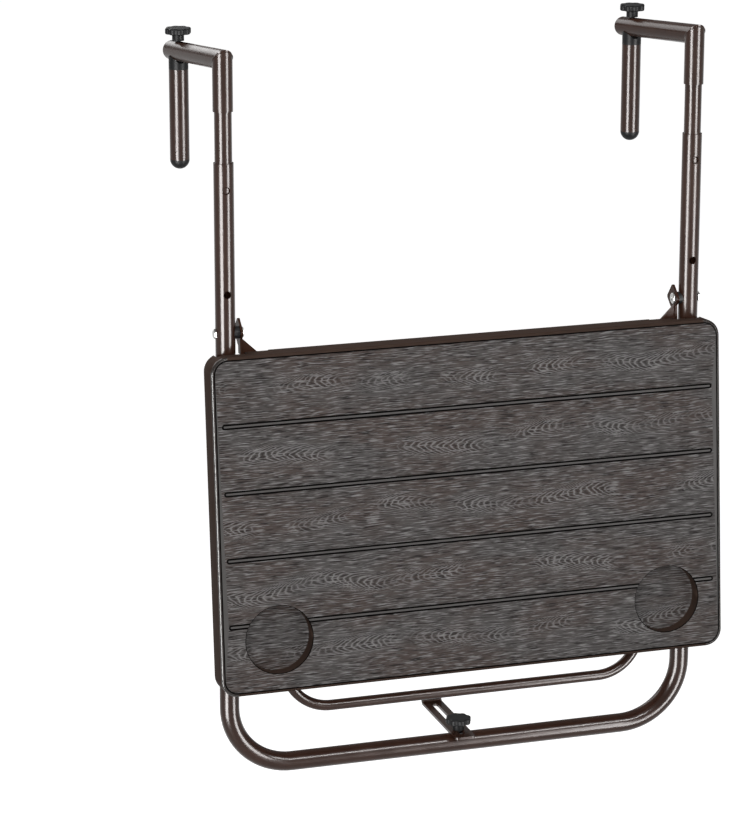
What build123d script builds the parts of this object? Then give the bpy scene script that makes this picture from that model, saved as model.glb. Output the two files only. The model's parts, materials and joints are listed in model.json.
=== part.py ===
"""Folding balcony table that hangs on a handrail, in millimetres.

The origin is the rail seat: midway between the two hooks, on the top front edge of the handrail.
X runs across the table, Y runs away from the user through the railing and Z is up.
The table top hangs folded against its frame.
"""
import os
from math import acos, cos, degrees, radians, sin, sqrt, tan

from build123d import *

os.makedirs("parts", exist_ok=True)

# Overall layout: drops run down from the rail seat, rises run up from the bottom bar
OVERALL_HEIGHT = 830.0
TOP_WIDTH = 595.0
TOP_LENGTH = 380.0
SIDE_OVERHANG = 25.5
TUBE_D = 22.0
TUBE_BORE = 19.1
FRAME_BEND_R = 72.0
SHOULDER_DROP = 43.35
POST_TOP_DROP = 99.35
BUTTON_BELOW_TOP = 29.0
HINGE_RISE = 506.0
HOLE_ABOVE_HINGE = 45.0
STRUT_PIVOT_RISE = 355.0
STRUT_LENGTH = 284.5
HEX_SIDES = 6

# Table top
TOP_DEPTH = 32.0
TOP_CORNER_R = 19.0
TOP_TILT = 5.0
TOP_GAP = 22.0
FACE_OFFSET = 29.6
SKIN = 4.0
WALL = 5.0
RIM_ROUND = 2.5
BACK_ROUND = 1.5
RIM_WIDTH = 3.0
RIM_LINE_W = 1.5
RIM_LINE_DEPTH = 1.2
PLANK_COUNT = 5
PLANK_PITCH = 74.8
FIRST_PLANK = 76.4
BEAD_W = 2.2
GROOVE_W = 2.0
GROOVE_DEPTH = 1.6
GROOVE_MARGIN = 10.0
CUP_D = 77.0
CUP_DEPTH = 18.0
CUP_LIP = 0.8
CUP_FLOOR_R = 2.5
CUP_SHELL = 3.0
CUP_INSET = 67.5
CUP_FOOT_MARGIN = 60.4
RIB_T = 2.4
RIB_HEIGHT = 12.0
RIB_COLUMNS = 3
NOTCH_CLEAR = 3.0
NOTCH_DEPTH = 15.4
NOTCH_REACH = 24.0

# Hinge of the table top
BOLT_D = 6.0
BOLT_CLEAR = 0.08
BOLT_HEAD_D = 12.5
BOLT_HEAD_H = 2.2
BOLT_CROWN_R = 1.4
BOLT_SOCKET_D = 5.5
BOLT_SOCKET_DEPTH = 1.4
BOLT_HEAD_GAP = 0.2
NUT_FLATS = 10.0
NUT_H = 1.8
CAP_D = 9.2
CAP_H = 0.8
CAP_ROUND = 0.6
BUSH_D = 14.0
EAR_GAP = 4.0
BUSH_GAP = 0.1
BRACKET_T = 2.5
EAR_SIDE = 23.0
EAR_ROUND = 3.0
EAR_SET_BACK = 4.0
EAR_NECK = 24.0
EAR_NECK_W = 9.0
FLANGE_W = 33.0
FLANGE_LENGTH = 62.0
FLANGE_START = 4.0
FLANGE_BACK = 0.1
FLANGE_SLANT = 31.0
SCREW_D = 4.0
SCREW_HEAD_D = 7.6
SCREW_HEAD_H = 2.3
SCREW_HEAD_R = 1.15
SCREW_DROP = 52.0
SCREW_INSETS = (8.0, 24.0)
SCREW_LENGTH = 14.0
BOSS_D = 9.0

# Support strut
STRUT_D = 12.0
STRUT_BORE = 9.6
STRUT_INSET = 59.0
STRUT_BEND_R = 52.0
CROSS_D = 12.0
CROSS_BORE = 9.6
SLEEVE_D = 16.0
SLEEVE_LENGTH = 26.0
SLEEVE_CLEAR = 0.08
SPACER_TUBE_GAP = 0.2
CATCH_INSET = 95.0
CATCH_W = 22.0
CATCH_BACK = 16.0
CATCH_FRONT = 12.0
CATCH_CLEAR = 0.5
CATCH_LEAD_ANGLE = 80.0
CATCH_STAND = 2.0

# Rear spacer on the bottom bar
PLATE_W = 24.0
PLATE_T = 3.0
PLATE_FRONT = 27.0
PLATE_REACH = 98.0
PLATE_LIP = 15.0
PLATE_BEND_R = 2.0
PLATE_CORNER_R = 4.0
PLATE_CLEAR = 0.1
SLOT_W = 6.6
SLOT_END_MARGIN = 9.0
INSERT_D = 9.0
INSERT_FLANGE_D = 13.0
INSERT_FLANGE_T = 1.0
INSERT_LENGTH = 9.0

# Star knobs and their studs
KNOB_D = 29.6
KNOB_LOBES = 8
KNOB_LOBE_R = 5.0
KNOB_CORE_D = 26.6
KNOB_HEAD_H = 7.0
KNOB_HUB_D = 13.5
KNOB_HUB_H = 7.5
KNOB_ROUND = 1.6
KNOB_GAP = 0.1
STUD_D = 6.0
STUD_CLEAR = 0.05
STUD_IN_KNOB = 10.0
STUD_TAIL = 3.0
STUD_CHAMFER = 0.75

# Hooks
SLIDE_D = 19.0
SLIDE_BORE = 16.0
SLIDE_IN_LEG = 34.0
SLIDE_BELOW_BUTTON = 60.0
ARM_SLOPE = 6.5
PEG_REACH = 186.0
PEG_DROP = 133.5
ARM_OVERHANG = 26.0
ARM_SLOT_TRAVEL = 66.0
PLUG_RIM = 2.0
PLUG_INSERT = 10.0
PLUG_ROUND = 1.2
CRADLE_CLEAR = 0.1
CRADLE_FLAT_GAP = 2.5
CRADLE_EAR = 4.8
CRADLE_HEIGHT = 15.0
CRADLE_SPIGOT = 14.0
PEG_NUT_FLATS = 10.0
PEG_NUT_H = 5.0

# Snap buttons
BUTTON_D = 8.0
BUTTON_HOLE_D = 8.6
BUTTON_CLEAR = 0.08
BUTTON_SINK = 0.05
BUTTON_ROUND = 1.2
BUTTON_FLANGE_D = 10.0
BUTTON_FLANGE_T = 1.0
SPRING_W = 6.0
SPRING_T = 0.6
SPRING_LEG = 26.0
SPRING_ABOVE = 5.0

# Worked out from the driving dimensions
SIDES = {"left": -1, "right": 1}
TUBE_R = TUBE_D / 2
POST_X = TOP_WIDTH / 2 - SIDE_OVERHANG
POST_Y = -TUBE_R
SLOPE = radians(ARM_SLOPE)
ARM_RUN = Vector(0, cos(SLOPE), -sin(SLOPE))
ELBOW_Z = TUBE_R * tan(SLOPE) + TUBE_R / cos(SLOPE)
ELBOW_TOP_Z = 2 * ELBOW_Z
PEG_Y = POST_Y + PEG_REACH
PEG_ARM_Z = ELBOW_Z - PEG_REACH * tan(SLOPE)
KNOB_FOOT_Z = PEG_ARM_Z + TUBE_R / cos(SLOPE) + KNOB_HUB_D / 2 * tan(SLOPE) + KNOB_GAP
BAR_Z = ELBOW_TOP_Z - OVERALL_HEIGHT + TUBE_R
HINGE_Z = BAR_Z + HINGE_RISE
POST_TOP_Z = -POST_TOP_DROP
BUTTON_Z = POST_TOP_Z - BUTTON_BELOW_TOP
LOWER_HOLE_Z = HINGE_Z + HOLE_ABOVE_HINGE
SHOULDER_Z = -SHOULDER_DROP
PIVOT_Z = BAR_Z + STRUT_PIVOT_RISE
STRUT_X = POST_X - STRUT_INSET
CATCH_X = STRUT_X - CATCH_INSET
CUP_X = TOP_WIDTH / 2 - CUP_INSET
PLATE_Z = BAR_Z + TUBE_R + INSERT_FLANGE_T + PLATE_CLEAR

# Planes of the table top: X across, Y up the panel from the hinge axis, Z out of its upper face
TILT = radians(TOP_TILT)
PANEL_UP = Vector(0, sin(TILT), cos(TILT))
PANEL_OUT = Vector(0, -cos(TILT), sin(TILT))
PANEL = Plane(origin=(0, POST_Y, HINGE_Z), x_dir=(1, 0, 0), z_dir=PANEL_OUT)
FACE = PANEL.offset(FACE_OFFSET)
BACK = PANEL.offset(FACE_OFFSET - TOP_DEPTH)
SKIN_BACK = PANEL.offset(FACE_OFFSET - SKIN)
PANEL_MID_Y = -TOP_GAP - TOP_LENGTH / 2
CUP_Y = CUP_FOOT_MARGIN - TOP_GAP - TOP_LENGTH
EAR_X = POST_X - TUBE_R - EAR_GAP
FLANGE_FRONT = FLANGE_BACK + BRACKET_T

# The strut hangs alongside the top, and its bar stands level with the hinge when the top is level
PIVOT_DROP = HINGE_RISE - STRUT_PIVOT_RISE
CATCH_REACH = sqrt(STRUT_LENGTH**2 - PIVOT_DROP**2)
TOP_TRAVEL = 90 - TOP_TILT
STRUT_TRAVEL = 180 - degrees(acos(PIVOT_DROP / STRUT_LENGTH)) - TOP_TILT
STRUT_RATIO = STRUT_TRAVEL / TOP_TRAVEL


def save(piece, name):
    """Label a finished piece and write its file."""
    piece.label = name
    export_step(piece, f"parts/{name}.step")


def panel_point(x, y, z):
    """Give the place of a point written in the table top's own directions."""
    return PANEL.from_local_coords((x, y, z))


def strut_point(x, drop):
    """Give the place of a point of the hanging strut, this far down from its pivot."""
    return (x, POST_Y - drop * sin(TILT), PIVOT_Z - drop * cos(TILT))


def bar_in_panel(top_angle):
    """Give the strut bar's Y and Z in the table top when the top stands at this angle from plumb."""
    lag = radians((1 - STRUT_RATIO) * (top_angle - TOP_TILT))
    lean = radians(top_angle)
    along = STRUT_LENGTH * cos(lag) + PIVOT_DROP * cos(lean)
    behind = STRUT_LENGTH * sin(lag) + PIVOT_DROP * sin(lean)
    return -along, -behind


# Frame


def make_post(side):
    """One post tube with its quarter bend at the foot and its holes."""
    x = side * POST_X
    bend_x = side * (POST_X - FRAME_BEND_R)
    knee = FRAME_BEND_R * (1 - cos(radians(45)))
    with BuildPart() as post:
        with BuildLine():
            Line((x, POST_Y, POST_TOP_Z), (x, POST_Y, BAR_Z + FRAME_BEND_R))
            ThreePointArc(
                (x, POST_Y, BAR_Z + FRAME_BEND_R),
                (x - side * knee, POST_Y, BAR_Z + knee),
                (bend_x, POST_Y, BAR_Z),
            )
        with BuildSketch(Plane(origin=(x, POST_Y, POST_TOP_Z), z_dir=(0, 0, -1))):
            Circle(TUBE_R)
            Circle(TUBE_BORE / 2, mode=Mode.SUBTRACT)
        sweep()
        for hole_z in (LOWER_HOLE_Z, BUTTON_Z):
            with BuildSketch(Plane(origin=(x, POST_Y, hole_z), z_dir=(0, -1, 0))):
                Circle(BUTTON_HOLE_D / 2)
            extrude(amount=TUBE_D, mode=Mode.SUBTRACT)
        with BuildSketch(Plane(origin=(x, POST_Y, HINGE_Z), z_dir=(1, 0, 0))):
            Circle(BOLT_D / 2)
        extrude(amount=TUBE_D, both=True, mode=Mode.SUBTRACT)
    return post.part


for side_name, side in SIDES.items():
    save(make_post(side), f"{side_name}_post")

BAR_HALF = POST_X - FRAME_BEND_R
with BuildPart() as bottom_bar:
    with BuildSketch(Plane(origin=(0, POST_Y, BAR_Z), z_dir=(1, 0, 0))):
        Circle(TUBE_R)
        Circle(TUBE_BORE / 2, mode=Mode.SUBTRACT)
    extrude(amount=BAR_HALF, both=True)
    with BuildSketch(Plane(origin=(0, POST_Y, BAR_Z))):
        Circle(INSERT_D / 2)
    extrude(amount=TUBE_D, mode=Mode.SUBTRACT)
save(bottom_bar.part, "bottom_bar")

# Cross tube between the posts, coped to them, that the strut turns on
with BuildPart() as cross_tube:
    with BuildSketch(Plane(origin=(0, POST_Y, PIVOT_Z), z_dir=(1, 0, 0))):
        Circle(CROSS_D / 2)
        Circle(CROSS_BORE / 2, mode=Mode.SUBTRACT)
    extrude(amount=POST_X, both=True)
    with Locations((-POST_X, POST_Y, PIVOT_Z), (POST_X, POST_Y, PIVOT_Z)):
        Cylinder(TUBE_R, 2 * TUBE_D, mode=Mode.SUBTRACT)
save(cross_tube.part, "cross_tube")


def make_strut_spacer(side):
    """Plastic tube on the cross tube that keeps the strut away from a post."""
    start = STRUT_X + SLEEVE_LENGTH / 2 + SPACER_TUBE_GAP
    with BuildPart() as spacer:
        with BuildSketch(Plane(origin=(side * start, POST_Y, PIVOT_Z), z_dir=(side, 0, 0))):
            Circle(SLEEVE_D / 2)
            Circle(CROSS_D / 2, mode=Mode.SUBTRACT)
        extrude(amount=POST_X - start)
        with Locations((side * POST_X, POST_Y, PIVOT_Z)):
            Cylinder(TUBE_R, 2 * TUBE_D, mode=Mode.SUBTRACT)
    return spacer.part


for side_name, side in SIDES.items():
    save(make_strut_spacer(side), f"{side_name}_strut_spacer")

# Threaded insert in the top of the bottom bar
with BuildPart() as threaded_insert:
    with BuildSketch(Plane(origin=(0, POST_Y, BAR_Z + TUBE_R))):
        Circle(INSERT_FLANGE_D / 2)
    extrude(amount=INSERT_FLANGE_T)
    with BuildSketch(Plane(origin=(0, POST_Y, BAR_Z + TUBE_R))):
        Circle(INSERT_D / 2)
    extrude(amount=-INSERT_LENGTH)
    with BuildSketch(Plane(origin=(0, POST_Y, BAR_Z + TUBE_R))):
        Circle(STUD_D / 2 + STUD_CLEAR)
    extrude(amount=INSERT_LENGTH, both=True, mode=Mode.SUBTRACT)
save(threaded_insert.part, "threaded_insert")

# Hinge of the table top
BOLT_START = EAR_X - BRACKET_T - BOLT_HEAD_GAP
BOLT_END = POST_X + TUBE_R + NUT_H

with BuildPart() as hinge_bolts:
    for side in SIDES.values():
        with BuildSketch(Plane(origin=(side * BOLT_START, POST_Y, HINGE_Z), z_dir=(side, 0, 0))):
            Circle(BOLT_D / 2)
        extrude(amount=BOLT_END - BOLT_START)
        with BuildSketch(Plane(origin=(side * BOLT_START, POST_Y, HINGE_Z), z_dir=(-side, 0, 0))):
            Circle(BOLT_HEAD_D / 2)
        extrude(amount=BOLT_HEAD_H)
    crowns = hinge_bolts.edges().filter_by(GeomType.CIRCLE).group_by(SortBy.RADIUS)[-1]
    inner_crowns = [edge for edge in crowns if abs(edge.center().X) < BOLT_START - BOLT_HEAD_H / 2]
    fillet(inner_crowns, BOLT_CROWN_R)
    for side in SIDES.values():
        crown = side * (BOLT_START - BOLT_HEAD_H)
        with BuildSketch(Plane(origin=(crown, POST_Y, HINGE_Z), z_dir=(side, 0, 0))):
            RegularPolygon(BOLT_SOCKET_D / 2, HEX_SIDES)
        extrude(amount=BOLT_SOCKET_DEPTH, mode=Mode.SUBTRACT)
save(hinge_bolts.part, "hinge_bolts")

with BuildPart() as hinge_nuts:
    for side in SIDES.values():
        seat = Plane(origin=(side * (POST_X + TUBE_R), POST_Y, HINGE_Z), z_dir=(side, 0, 0))
        with BuildSketch(seat):
            RegularPolygon(NUT_FLATS / 2, HEX_SIDES, major_radius=False)
        extrude(amount=NUT_H)
        with BuildSketch(seat.offset(NUT_H)):
            Circle(CAP_D / 2)
        extrude(amount=CAP_H)
    rims = hinge_nuts.edges().filter_by(GeomType.CIRCLE)
    fillet([edge for edge in rims if abs(edge.center().X) > BOLT_END + CAP_H / 2], CAP_ROUND)
    for side in SIDES.values():
        seat = Plane(origin=(side * (POST_X + TUBE_R), POST_Y, HINGE_Z), z_dir=(side, 0, 0))
        with BuildSketch(seat):
            Circle(BOLT_D / 2)
        extrude(amount=NUT_H, mode=Mode.SUBTRACT)
save(hinge_nuts.part, "hinge_nuts")

with BuildPart() as hinge_bushes:
    for side in SIDES.values():
        with BuildSketch(Plane(origin=(side * (EAR_X + BUSH_GAP), POST_Y, HINGE_Z), z_dir=(side, 0, 0))):
            Circle(BUSH_D / 2)
            Circle(BOLT_D / 2, mode=Mode.SUBTRACT)
        extrude(amount=EAR_GAP + TUBE_R / 2)
    with Locations((-POST_X, POST_Y, HINGE_Z), (POST_X, POST_Y, HINGE_Z)):
        Cylinder(TUBE_R, 2 * TUBE_D, mode=Mode.SUBTRACT)
save(hinge_bushes.part, "hinge_bushes")


def make_bracket(side):
    """Folded steel bracket: a flange under the table top and an ear on the hinge bolt."""
    with BuildPart() as bracket:
        with BuildSketch(PANEL.offset(FLANGE_BACK)):
            with BuildLine():
                Polyline(
                    (side * EAR_X, -FLANGE_START),
                    (side * EAR_X, -FLANGE_LENGTH),
                    (side * (EAR_X - FLANGE_W), -FLANGE_LENGTH),
                    (side * (EAR_X - FLANGE_W), -FLANGE_START - FLANGE_SLANT),
                    close=True,
                )
            make_face()
        extrude(amount=BRACKET_T)
        ear_plane = Plane(origin=panel_point(side * EAR_X, 0, 0), x_dir=PANEL_UP, z_dir=(-side, 0, 0))
        with BuildSketch(ear_plane):
            with Locations((0, side * EAR_SET_BACK)):
                RectangleRounded(EAR_SIDE, EAR_SIDE, EAR_ROUND, rotation=45)
            with Locations((-EAR_NECK / 2, 0)):
                Rectangle(EAR_NECK, EAR_NECK_W)
        extrude(amount=BRACKET_T)
        with BuildSketch(ear_plane):
            Circle(BOLT_D / 2 + BOLT_CLEAR)
        extrude(amount=BRACKET_T, mode=Mode.SUBTRACT)
        with BuildSketch(PANEL.offset(FLANGE_BACK)):
            with Locations(*[(side * (EAR_X - inset), -SCREW_DROP) for inset in SCREW_INSETS]):
                Circle(SCREW_D / 2)
        extrude(amount=BRACKET_T, mode=Mode.SUBTRACT)
    return bracket.part


for side_name, side in SIDES.items():
    save(make_bracket(side), f"{side_name}_hinge_bracket")

SCREW_PLACES = [(side * (EAR_X - inset), -SCREW_DROP) for side in SIDES.values() for inset in SCREW_INSETS]
with BuildPart() as bracket_screws:
    with BuildSketch(PANEL.offset(FLANGE_BACK)):
        with Locations(*SCREW_PLACES):
            Circle(SCREW_HEAD_D / 2)
    extrude(amount=-SCREW_HEAD_H)
    heads = bracket_screws.faces().sort_by(Axis(PANEL.origin, PANEL_OUT))[: len(SCREW_PLACES)]
    fillet(heads.edges(), SCREW_HEAD_R)
    with BuildSketch(PANEL.offset(FLANGE_BACK)):
        with Locations(*SCREW_PLACES):
            Circle(SCREW_D / 2)
    extrude(amount=SCREW_LENGTH)
save(bracket_screws.part, "bracket_screws")

# Table top


def cup_tool(x, grow):
    """Revolved body of a cup recess, grown outwards by a shell thickness."""
    centre = panel_point(x, CUP_Y, FACE_OFFSET)
    radius = CUP_D / 2 + grow
    depth = CUP_DEPTH + grow
    with BuildPart() as tool:
        with BuildSketch(Plane(origin=centre, x_dir=(1, 0, 0), z_dir=Vector(1, 0, 0).cross(PANEL_OUT))):
            with BuildLine():
                Line((0, 0), (radius + CUP_LIP, 0))
                Line((radius + CUP_LIP, 0), (radius, -CUP_LIP))
                Line((radius, -CUP_LIP), (radius, CUP_FLOOR_R - depth))
                RadiusArc((radius, CUP_FLOOR_R - depth), (radius - CUP_FLOOR_R, -depth), CUP_FLOOR_R)
                Line((radius - CUP_FLOOR_R, -depth), (0, -depth))
                Line((0, -depth), (0, 0))
            make_face()
        revolve(axis=Axis(centre, PANEL_OUT))
    return tool.part


INNER_W = TOP_WIDTH - 2 * WALL
INNER_L = TOP_LENGTH - 2 * WALL
BEAD_LENGTH = TOP_WIDTH - 2 * (GROOVE_MARGIN + GROOVE_W)
BEAD_PLACES = [(0, -TOP_GAP - FIRST_PLANK - index * PLANK_PITCH) for index in range(PLANK_COUNT - 1)]
CUP_PLACES = [side * CUP_X for side in SIDES.values()]
CATCH_MID_Y = -CATCH_REACH + (CATCH_BACK - CATCH_FRONT) / 2
CATCH_PLACES = [(side * CATCH_X, CATCH_MID_Y) for side in SIDES.values()]
CUP_SHELLS = [cup_tool(x, CUP_SHELL) for x in CUP_PLACES]
CUP_TOOLS = [cup_tool(x, 0) for x in CUP_PLACES]

with BuildPart() as table_panel:
    with BuildSketch(BACK):
        with Locations((0, PANEL_MID_Y)):
            RectangleRounded(TOP_WIDTH, TOP_LENGTH, TOP_CORNER_R)
    extrude(amount=TOP_DEPTH)
    outline = table_panel.faces().sort_by(Axis(PANEL.origin, PANEL_OUT))
    fillet(outline[-1].edges(), RIM_ROUND)
    fillet(table_panel.faces().sort_by(Axis(PANEL.origin, PANEL_OUT))[0].edges(), BACK_ROUND)
    # Hollow underside with ribs, bosses and the shells of the cup recesses
    with BuildSketch(BACK):
        with Locations((0, PANEL_MID_Y)):
            RectangleRounded(INNER_W, INNER_L, TOP_CORNER_R - WALL)
    extrude(amount=TOP_DEPTH - SKIN, mode=Mode.SUBTRACT)
    with BuildSketch(SKIN_BACK):
        for x, y in BEAD_PLACES:
            with Locations((x, y)):
                Rectangle(INNER_W, RIB_T)
        with GridLocations(INNER_W / RIB_COLUMNS, 0, RIB_COLUMNS - 1, 1):
            with Locations((0, PANEL_MID_Y)):
                Rectangle(RIB_T, INNER_L)
    extrude(amount=-RIB_HEIGHT)
    with BuildSketch(SKIN_BACK):
        with Locations(*CATCH_PLACES):
            Rectangle(CATCH_W, CATCH_BACK + CATCH_FRONT)
    extrude(amount=-RIB_HEIGHT, mode=Mode.SUBTRACT)
    with BuildSketch(SKIN_BACK):
        with Locations(*SCREW_PLACES):
            Circle(BOSS_D / 2)
    extrude(amount=FLANGE_FRONT - FACE_OFFSET + SKIN)
    for shell in CUP_SHELLS:
        add(shell)
    # Upper face: grooves round the beads between the planks, the line inside the rim and the cup recesses
    with BuildSketch(FACE):
        with Locations(*BEAD_PLACES):
            SlotOverall(BEAD_LENGTH + 2 * GROOVE_W, BEAD_W + 2 * GROOVE_W)
            SlotOverall(BEAD_LENGTH, BEAD_W, mode=Mode.SUBTRACT)
    extrude(amount=-GROOVE_DEPTH, mode=Mode.SUBTRACT)
    with BuildSketch(FACE):
        with Locations((0, PANEL_MID_Y)):
            RectangleRounded(TOP_WIDTH - 2 * RIM_WIDTH, TOP_LENGTH - 2 * RIM_WIDTH, TOP_CORNER_R - RIM_WIDTH)
            RectangleRounded(
                TOP_WIDTH - 2 * (RIM_WIDTH + RIM_LINE_W),
                TOP_LENGTH - 2 * (RIM_WIDTH + RIM_LINE_W),
                TOP_CORNER_R - RIM_WIDTH - RIM_LINE_W,
                mode=Mode.SUBTRACT,
            )
    extrude(amount=-RIM_LINE_DEPTH, mode=Mode.SUBTRACT)
    for tool in CUP_TOOLS:
        add(tool, mode=Mode.SUBTRACT)
    # Notches in the hinge edge for the posts, the ears and the bracket flanges
    for side in SIDES.values():
        notch_start = EAR_X - BRACKET_T - NOTCH_CLEAR
        notch_end = POST_X + TUBE_R + NOTCH_CLEAR
        with BuildSketch(BACK):
            with Locations((side * (notch_start + notch_end) / 2, -TOP_GAP)):
                Rectangle(notch_end - notch_start, 2 * NOTCH_REACH)
        extrude(amount=NOTCH_DEPTH, mode=Mode.SUBTRACT)
        with BuildSketch(BACK):
            with Locations((side * (EAR_X - FLANGE_W / 2), -TOP_GAP)):
                Rectangle(FLANGE_W, 2 * NOTCH_REACH)
        extrude(amount=FLANGE_FRONT - FACE_OFFSET + TOP_DEPTH, mode=Mode.SUBTRACT)
    with BuildSketch(PANEL.offset(FLANGE_FRONT)):
        with Locations(*SCREW_PLACES):
            Circle(SCREW_D / 2)
    extrude(amount=SCREW_LENGTH - BRACKET_T, mode=Mode.SUBTRACT)
save(table_panel.part, "table_panel")

# Catches under the table top that the strut bar slides into
CATCH_SEAT = (-CATCH_REACH, 0)
CATCH_LEAD = bar_in_panel(CATCH_LEAD_ANGLE)
with BuildPart() as strut_catches:
    for side in SIDES.values():
        start_x = side * CATCH_X - CATCH_W / 2
        end_plane = Plane(origin=panel_point(start_x, 0, 0), x_dir=PANEL_UP, z_dir=(1, 0, 0))
        block_height = FACE_OFFSET - SKIN + CATCH_STAND
        with BuildSketch(end_plane):
            with Locations((CATCH_MID_Y, (FACE_OFFSET - SKIN - CATCH_STAND) / 2)):
                Rectangle(CATCH_BACK + CATCH_FRONT, block_height)
            with BuildSketch(mode=Mode.PRIVATE) as lead:
                with Locations(CATCH_SEAT, CATCH_LEAD):
                    Circle(STRUT_D / 2 + CATCH_CLEAR)
                make_hull()
            add(lead.sketch, mode=Mode.SUBTRACT)
        extrude(amount=CATCH_W)
save(strut_catches.part, "strut_catches")

# Support strut


def make_strut_leg(side):
    """One strut leg, coped to its sleeve, with the quarter bend to the bar."""
    x = side * STRUT_X
    bend_start = STRUT_LENGTH - STRUT_BEND_R
    knee = STRUT_BEND_R * (1 - cos(radians(45)))
    with BuildPart() as leg:
        with BuildLine():
            Line(strut_point(x, 0), strut_point(x, bend_start))
            ThreePointArc(
                strut_point(x, bend_start),
                strut_point(x - side * knee, STRUT_LENGTH - knee),
                strut_point(x - side * STRUT_BEND_R, STRUT_LENGTH),
            )
        with BuildSketch(Plane(origin=strut_point(x, 0), z_dir=-PANEL_UP)):
            Circle(STRUT_D / 2)
            Circle(STRUT_BORE / 2, mode=Mode.SUBTRACT)
        sweep()
        with Locations((x, POST_Y, PIVOT_Z)):
            Cylinder(SLEEVE_D / 2, 2 * SLEEVE_LENGTH, rotation=(0, 90, 0), mode=Mode.SUBTRACT)
    return leg.part


for side_name, side in SIDES.items():
    save(make_strut_leg(side), f"{side_name}_strut_leg")

with BuildPart() as strut_bar:
    with BuildSketch(Plane(origin=strut_point(0, STRUT_LENGTH), z_dir=(1, 0, 0))):
        Circle(STRUT_D / 2)
        Circle(STRUT_BORE / 2, mode=Mode.SUBTRACT)
    extrude(amount=STRUT_X - STRUT_BEND_R, both=True)
save(strut_bar.part, "strut_bar")

with BuildPart() as strut_sleeves:
    for side in SIDES.values():
        with BuildSketch(Plane(origin=(side * STRUT_X, POST_Y, PIVOT_Z), z_dir=(1, 0, 0))):
            Circle(SLEEVE_D / 2)
            Circle(CROSS_D / 2 + SLEEVE_CLEAR, mode=Mode.SUBTRACT)
        extrude(amount=SLEEVE_LENGTH / 2, both=True)
save(strut_sleeves.part, "strut_sleeves")

# Rear spacer: slotted plate with an upturned end that bears on the railing
PLATE_END_Y = POST_Y + PLATE_REACH
PLATE_START_Y = POST_Y - PLATE_FRONT
with BuildPart() as spacer_plate:
    with BuildSketch(Plane(origin=(-PLATE_W / 2, 0, 0), x_dir=(0, 1, 0), z_dir=(1, 0, 0))):
        with BuildLine():
            Polyline(
                (PLATE_START_Y, PLATE_Z),
                (PLATE_END_Y, PLATE_Z),
                (PLATE_END_Y, PLATE_Z + PLATE_LIP),
                (PLATE_END_Y - PLATE_T, PLATE_Z + PLATE_LIP),
                (PLATE_END_Y - PLATE_T, PLATE_Z + PLATE_T),
                (PLATE_START_Y, PLATE_Z + PLATE_T),
                close=True,
            )
        make_face()
    extrude(amount=PLATE_W)
    across = spacer_plate.edges().filter_by(Axis.X)
    inner_bend = across.sort_by_distance((0, PLATE_END_Y - PLATE_T, PLATE_Z + PLATE_T))[0]
    fillet(inner_bend, PLATE_BEND_R)
    across = spacer_plate.edges().filter_by(Axis.X)
    fillet(across.sort_by_distance((0, PLATE_END_Y, PLATE_Z))[0], PLATE_BEND_R + PLATE_T)
    fillet(spacer_plate.edges().filter_by(Axis.Z).group_by(Axis.Y)[0], PLATE_CORNER_R)
    fillet(spacer_plate.edges().filter_by(Axis.Y).group_by(Axis.Z)[-1], PLATE_CORNER_R)
    slot_start = PLATE_START_Y + SLOT_END_MARGIN
    slot_end = PLATE_END_Y - PLATE_T - SLOT_END_MARGIN
    with BuildSketch(Plane(origin=(0, 0, PLATE_Z))):
        with Locations((0, (slot_start + slot_end) / 2)):
            SlotOverall(slot_end - slot_start, SLOT_W, rotation=90)
    extrude(amount=PLATE_T, mode=Mode.SUBTRACT)
save(spacer_plate.part, "spacer_plate")


def make_knob(x, y, foot_z):
    """Lobed star knob on a round hub, with a blind hole for its stud."""
    with BuildPart() as knob:
        with BuildSketch(Plane(origin=(x, y, foot_z + KNOB_HUB_H))):
            Circle(KNOB_CORE_D / 2)
            with PolarLocations(KNOB_D / 2 - KNOB_LOBE_R, KNOB_LOBES):
                Circle(KNOB_LOBE_R)
        extrude(amount=KNOB_HEAD_H)
        ends = knob.faces().filter_by(Axis.Z).sort_by(Axis.Z)
        fillet(ends[0].edges() + ends[-1].edges(), KNOB_ROUND)
        with BuildSketch(Plane(origin=(x, y, foot_z))):
            Circle(KNOB_HUB_D / 2)
        extrude(amount=KNOB_HUB_H)
        with BuildSketch(Plane(origin=(x, y, foot_z))):
            Circle(STUD_D / 2)
        extrude(amount=STUD_IN_KNOB, mode=Mode.SUBTRACT)
    return knob.part


def make_stud(x, y, foot_z, length):
    """Steel stud moulded into a knob, running down from it."""
    with BuildPart() as stud:
        with BuildSketch(Plane(origin=(x, y, foot_z + STUD_IN_KNOB))):
            Circle(STUD_D / 2)
        extrude(amount=-STUD_IN_KNOB - length)
        chamfer(stud.edges().group_by(Axis.Z)[0], STUD_CHAMFER)
    return stud.part


SPACER_KNOB_Z = PLATE_Z + PLATE_T + KNOB_GAP
SPACER_STUD_LENGTH = SPACER_KNOB_Z - BAR_Z - TUBE_R + INSERT_LENGTH - STUD_TAIL
save(make_knob(0, POST_Y, SPACER_KNOB_Z), "spacer_knob")
save(make_stud(0, POST_Y, SPACER_KNOB_Z, SPACER_STUD_LENGTH), "spacer_stud")

# Hooks
MITRE_NORMAL = ARM_RUN + Vector(0, 0, 1)
ARM_LENGTH = (PEG_REACH + ARM_OVERHANG) / cos(SLOPE)


def make_hook_leg(x):
    """Upright hook tube from its shoulder to the mitred elbow."""
    elbow = (x, POST_Y, ELBOW_Z)
    with BuildPart() as leg:
        with BuildSketch(Plane(origin=(x, POST_Y, SHOULDER_Z))):
            Circle(TUBE_R)
            Circle(SLIDE_D / 2, mode=Mode.SUBTRACT)
        extrude(amount=ELBOW_Z - SHOULDER_Z + TUBE_D)
        split(bisect_by=Plane(origin=elbow, z_dir=MITRE_NORMAL), keep=Keep.BOTTOM)
    return leg.part


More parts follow.
